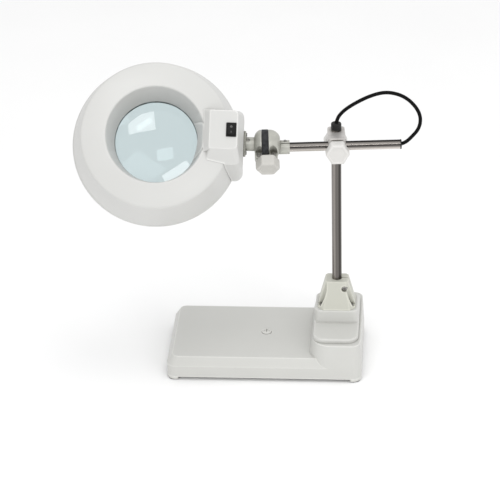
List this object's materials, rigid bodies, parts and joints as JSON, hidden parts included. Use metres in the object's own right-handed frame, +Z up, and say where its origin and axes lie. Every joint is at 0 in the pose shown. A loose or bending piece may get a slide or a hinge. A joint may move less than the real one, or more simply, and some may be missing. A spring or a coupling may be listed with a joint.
{
  "type": "magnifying lamp",
  "caption": "Table magnifying lamp: weighted base, post, cross clamp and sliding arm, swivel joint, and a round lens inside a circular lamp.",
  "frame": {"origin": "centre of the base's footprint, on the table", "axes": "+X to the right along the base, from the lens side to the post side, +Y away from the user, +Z up"},
  "size_m": [0.5214, 0.2188, 0.4918],
  "materials": {
    "white_abs": "moulded white ABS, light gloss",
    "shade_enamel": "white gloss",
    "black_rubber": "matt black",
    "grey_rubber": "matt dark grey",
    "stainless": "polished stainless tube",
    "cast_alloy": "satin cast alloy",
    "screw_steel": "zinc plated",
    "iron": "rough",
    "gear_case": "grey lacquer",
    "clear_glass": "polished",
    "lamp_glass": "white coated glass tube",
    "knob_plastic": "moulded pale grey plastic",
    "dark_ring": "dark, fine grip lines",
    "switch_dark": "moulded black"
  },
  "bodies": {
    "base": {"base_shell": "white_abs", "bottom_cover": "white_abs", "cover_screws": "screw_steel", "corner_feet": "white_abs", "foot_pads": "grey_rubber", "ballast_weight": "iron", "ballast_screw": "white_abs", "control_gear": "gear_case", "mains_gland": "black_rubber", "pedestal_cover": "white_abs", "pedestal_screws": "screw_steel", "post_socket": "white_abs", "socket_screws": "screw_steel", "post_pinch_screw": "screw_steel"},
    "post": {"post_tube": "stainless", "post_cap": "black_rubber"},
    "clamp": {"clamp_block": "cast_alloy", "loop_cable": "black_rubber"},
    "front_knob_body": {"front_knob": "knob_plastic", "front_knob_stud": "screw_steel"},
    "back_knob_body": {"back_knob": "knob_plastic", "back_knob_stud": "screw_steel"},
    "arm": {"arm_tube": "stainless", "arm_end_bush": "black_rubber", "arm_side_casting": "cast_alloy", "friction_ring": "dark_ring", "swivel_pin": "screw_steel", "arm_side_screw": "screw_steel", "arm_grub_screw": "screw_steel"},
    "joint_knob_body": {"joint_knob": "knob_plastic", "joint_knob_stud": "screw_steel"},
    "head": {"head_side_casting": "cast_alloy", "head_side_screw": "screw_steel", "neck_grub_screw": "screw_steel", "neck_tube": "stainless", "neck_flange": "cast_alloy", "flange_screws": "screw_steel", "head_shell": "shade_enamel", "lens_well": "shade_enamel", "lens": "clear_glass", "lens_ring": "grey_rubber", "circular_lamp": "lamp_glass", "lamp_base": "white_abs", "lamp_clips": "screw_steel", "switch_housing": "white_abs", "switch_body": "switch_dark"},
    "rocker": {"switch_rocker": "switch_dark"}
  },
  "joints": [
    {"name": "post_turn", "type": "hinge", "parent": "base", "child": "post", "pos_m": [0.11, 0.004, 0.1], "axis": [0, 0, 1], "range_deg": [-90, 90]},
    {"name": "clamp_slide", "type": "slide", "parent": "post", "child": "clamp", "axis": [0, 0, 1], "range_m": [-0.08, 0], "deforming": ["loop_cable"]},
    {"name": "front_knob_turn", "type": "hinge", "parent": "clamp", "child": "front_knob_body", "pos_m": [0.11257, -0.02629, 0.37], "axis": [0.0845, -0.9964, 0], "range_deg": [0, 360]},
    {"name": "back_knob_turn", "type": "hinge", "parent": "clamp", "child": "back_knob_body", "pos_m": [0.10878, 0.01835, 0.36], "axis": [-0.0845, 0.9964, 0], "range_deg": [0, 360]},
    {"name": "arm_slide", "type": "slide", "parent": "clamp", "child": "arm", "axis": [0.9964, 0.0845, 0], "range_m": [-0.03, 0.03], "deforming": ["loop_cable"]},
    {"name": "head_roll", "type": "hinge", "parent": "arm", "child": "head", "pos_m": [0.00508, -0.02146, 0.3753], "axis": [0.9964, 0.0845, 0], "range_deg": [-45, 45]},
    {"name": "joint_knob_turn", "type": "hinge", "parent": "arm", "child": "joint_knob_body", "pos_m": [0.00993, -0.04318, 0.36152], "axis": [0.0717, -0.845, -0.5299], "range_deg": [0, 360]},
    {"name": "rocker_tilt", "type": "hinge", "parent": "head", "child": "rocker", "pos_m": [-0.04119, -0.06096, 0.41868], "axis": [0.9979, 0.0455, -0.0469], "range_deg": [0, 20]}
  ]
}
